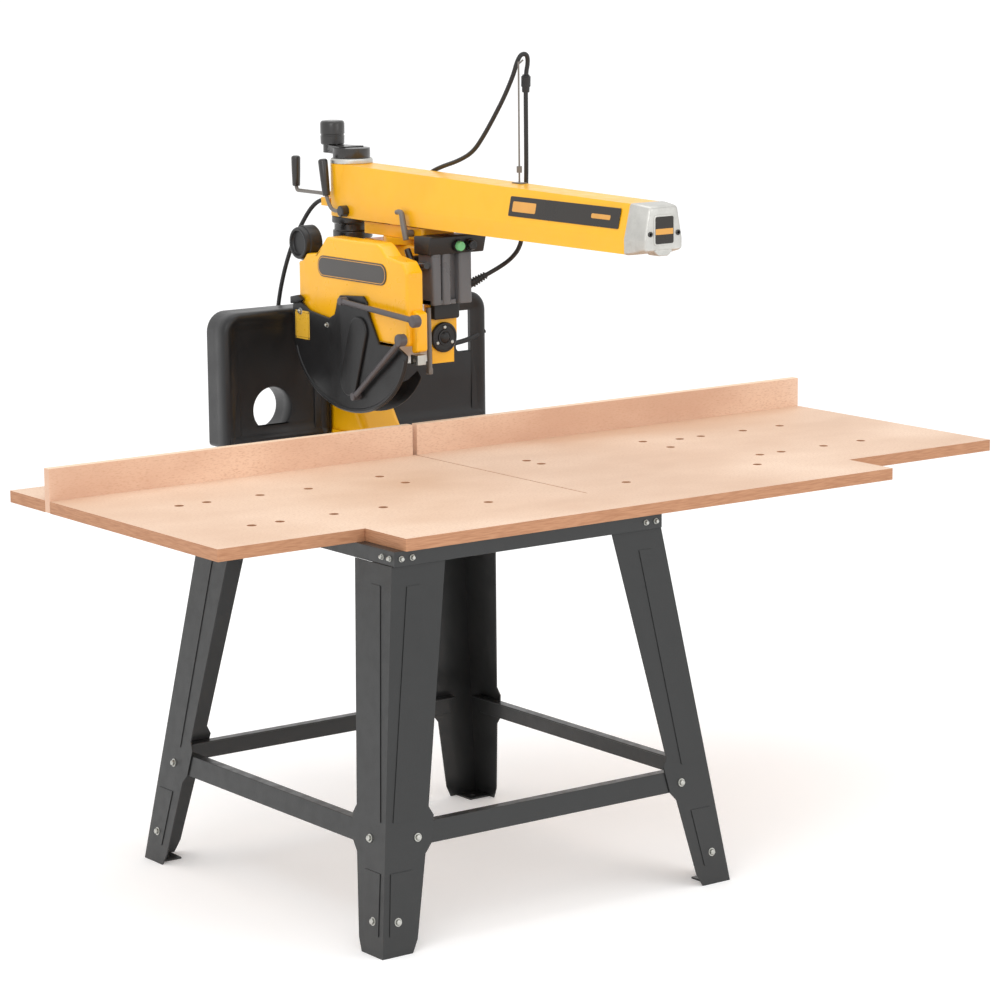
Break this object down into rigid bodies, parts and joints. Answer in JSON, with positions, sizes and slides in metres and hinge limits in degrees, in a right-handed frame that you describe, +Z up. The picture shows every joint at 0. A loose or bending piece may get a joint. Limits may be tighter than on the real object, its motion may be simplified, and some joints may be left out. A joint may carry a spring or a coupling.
{
  "type": "radial arm saw",
  "caption": "Radial arm saw: a motor head with a guarded circular blade slides along an overhead arm above a wide board table with a fence, on a splayed leg stand.",
  "frame": {"origin": "on the floor, at the middle of the four foot holes of the leg stand", "axes": "+X along the fence and table, +Y away from the operator towards the column, +Z up"},
  "size_m": [2.0414, 1.5045, 1.685],
  "materials": {
    "stand_black": "satin black paint",
    "board": "smooth fibreboard",
    "zinc": "zinc plated",
    "ground_steel": "ground steel",
    "black_plastic": "black moulded plastic",
    "black_metal": "black",
    "lever_grey": "grey brown paint",
    "yellow_cast": "gloss yellow paint",
    "yellow_alloy": "casting with gloss yellow paint",
    "yellow_sheet": "gloss yellow paint",
    "cast_silver": "cast",
    "label_dark": "printed film with no lettering",
    "blade_steel": "ground",
    "start_green": "moulded",
    "stop_black": "moulded",
    "cable_rubber": "cable sheath"
  },
  "bodies": {
    "stand": {"leg_front_left": "stand_black", "leg_front_right": "stand_black", "leg_rear_left": "stand_black", "leg_rear_right": "stand_black", "brace_front": "stand_black", "brace_rear": "stand_black", "brace_left": "stand_black", "brace_right": "stand_black", "base_frame": "stand_black", "table_main": "board", "table_left_extension": "board", "table_right_extension": "board", "table_rear_board": "board", "fence_left": "board", "fence_right": "board", "table_screws": "zinc", "stand_bolts": "zinc", "dust_hood": "black_plastic", "column_base": "yellow_alloy", "elevation_nut": "zinc", "supply_box": "black_plastic", "rear_cable": "cable_rubber"},
    "column": {"column_tube": "ground_steel", "column_collar": "black_metal"},
    "crank": {"elevation_crank": "black_metal"},
    "crank_knob": {"crank_knob": "black_plastic"},
    "arm": {"arm_casting": "yellow_cast", "track_rod_left": "ground_steel", "track_rod_right": "ground_steel", "arm_end_cap": "cast_silver", "end_label": "label_dark", "arm_top_cap": "cast_silver", "arm_label": "label_dark", "cable_mast": "lever_grey", "motor_cable": "cable_rubber"},
    "mitre_clamp": {"mitre_clamp_handle": "black_metal"},
    "mitre_latch": {"mitre_latch_handle": "black_metal"},
    "carriage": {"carriage": "yellow_alloy"},
    "carriage_lock": {"carriage_lock": "lever_grey"},
    "roller_front_left": {"roller_front_left": "ground_steel"},
    "roller_front_right": {"roller_front_right": "ground_steel"},
    "roller_rear_left": {"roller_rear_left": "ground_steel"},
    "roller_rear_right": {"roller_rear_right": "ground_steel"},
    "yoke": {"yoke": "yellow_alloy", "control_grip": "black_plastic"},
    "start_button": {"start_button": "start_green"},
    "stop_button": {"stop_button": "stop_black"},
    "yoke_clamp": {"yoke_clamp_lever": "black_metal"},
    "bevel_lever": {"bevel_lever": "lever_grey"},
    "motor": {"motor_body": "cast_silver", "bevel_dial": "black_plastic", "upper_guard": "yellow_sheet", "guard_badge": "label_dark", "guard_bracket": "zinc"},
    "dust_spout": {"dust_spout": "black_plastic"},
    "rotor": {"rotor_shaft": "ground_steel", "blade": "blade_steel", "arbor_flanges": "zinc"},
    "lower_guard": {"lower_guard": "black_plastic", "guard_links": "black_plastic"}
  },
  "joints": [
    {"name": "elevation", "type": "slide", "parent": "stand", "child": "column", "axis": [0, 0, 1], "range_m": [-0.06, 0.06], "deforming": ["rear_cable"]},
    {"name": "crank_turn", "type": "hinge", "parent": "column", "child": "crank", "pos_m": [0.405, 0.868, 1.44], "axis": [0, 0, 1], "continuous": true},
    {"name": "crank_knob_spin", "type": "hinge", "parent": "crank", "child": "crank_knob", "pos_m": [0.405, 0.946, 1.48], "axis": [0, 0, 1], "continuous": true},
    {"name": "mitre_swing", "type": "hinge", "parent": "column", "child": "arm", "pos_m": [0.405, 0.868, 1.35], "axis": [0, 0, 1], "range_deg": [0, 45]},
    {"name": "mitre_clamp_turn", "type": "hinge", "parent": "arm", "child": "mitre_clamp", "pos_m": [0.343, 0.815, 1.308], "axis": [1, 0, 0], "range_deg": [0, 40]},
    {"name": "mitre_latch_turn", "type": "hinge", "parent": "arm", "child": "mitre_latch", "pos_m": [0.366, 0.923, 1.34], "axis": [0, 1, 0], "range_deg": [0, 60]},
    {"name": "head_travel", "type": "slide", "parent": "arm", "child": "carriage", "axis": [0, -1, 0], "range_m": [0, 0.55], "deforming": ["motor_cable"]},
    {"name": "carriage_lock_turn", "type": "hinge", "parent": "carriage", "child": "carriage_lock", "pos_m": [0.345, 0.56, 1.276], "axis": [1, 0, 0], "range_deg": [0, 20]},
    {"name": "head_swivel", "type": "hinge", "parent": "carriage", "child": "yoke", "pos_m": [0.405, 0.64, 1.26], "axis": [0, 0, 1], "range_deg": [0, 90]},
    {"name": "yoke_clamp_turn", "type": "hinge", "parent": "yoke", "child": "yoke_clamp", "pos_m": [0.359, 0.537, 1.22], "axis": [1, 0, 0], "range_deg": [0, 25]},
    {"name": "bevel_tilt", "type": "hinge", "parent": "yoke", "child": "motor", "pos_m": [0.405, 0.64, 1.043], "axis": [0, -1, 0], "range_deg": [0, 30]},
    {"name": "bevel_lever_turn", "type": "hinge", "parent": "yoke", "child": "bevel_lever", "pos_m": [0.355, 0.521, 1.092], "axis": [1, 0, 0], "range_deg": [0, 20]},
    {"name": "blade_spin", "type": "hinge", "parent": "motor", "child": "rotor", "pos_m": [0.2685, 0.64, 1.043], "axis": [1, 0, 0], "continuous": true},
    {"name": "lower_guard_lift", "type": "hinge", "parent": "motor", "child": "lower_guard", "pos_m": [0.237, 0.832, 1.085], "axis": [-1, 0, 0], "range_deg": [0, 12]},
    {"name": "dust_spout_turn", "type": "hinge", "parent": "motor", "child": "dust_spout", "pos_m": [0.268, 0.856, 1.238], "axis": [1, 0, 0], "range_deg": [0, 30]},
    {"name": "start_press", "type": "slide", "parent": "yoke", "child": "start_button", "axis": [0, 1, 0], "range_m": [0, 0.004], "stiffness_N_per_m": 400, "springref_m": -0.002},
    {"name": "stop_press", "type": "slide", "parent": "yoke", "child": "stop_button", "axis": [0, 1, 0], "range_m": [0, 0.004], "stiffness_N_per_m": 400, "springref_m": -0.002},
    {"name": "roller_front_left_spin", "type": "hinge", "parent": "carriage", "child": "roller_front_left", "pos_m": [0.386, 0.562, 1.304], "axis": [0, 0, 1], "range_deg": [-2400, 2400]},
    {"name": "roller_front_right_spin", "type": "hinge", "parent": "carriage", "child": "roller_front_right", "pos_m": [0.424, 0.562, 1.304], "axis": [0, 0, 1], "range_deg": [-2400, 2400]},
    {"name": "roller_rear_left_spin", "type": "hinge", "parent": "carriage", "child": "roller_rear_left", "pos_m": [0.386, 0.718, 1.304], "axis": [0, 0, 1], "range_deg": [-2400, 2400]},
    {"name": "roller_rear_right_spin", "type": "hinge", "parent": "carriage", "child": "roller_rear_right", "pos_m": [0.424, 0.718, 1.304], "axis": [0, 0, 1], "range_deg": [-2400, 2400]}
  ],
  "couplings": [
    {"joint": "crank_turn", "follows": "elevation", "rad_per_m": -1256.6},
    {"joint": "roller_front_left_spin", "follows": "head_travel", "rad_per_m": -68.966},
    {"joint": "roller_front_right_spin", "follows": "head_travel", "rad_per_m": 68.966},
    {"joint": "roller_rear_left_spin", "follows": "head_travel", "rad_per_m": -68.966},
    {"joint": "roller_rear_right_spin", "follows": "head_travel", "rad_per_m": 68.966}
  ]
}
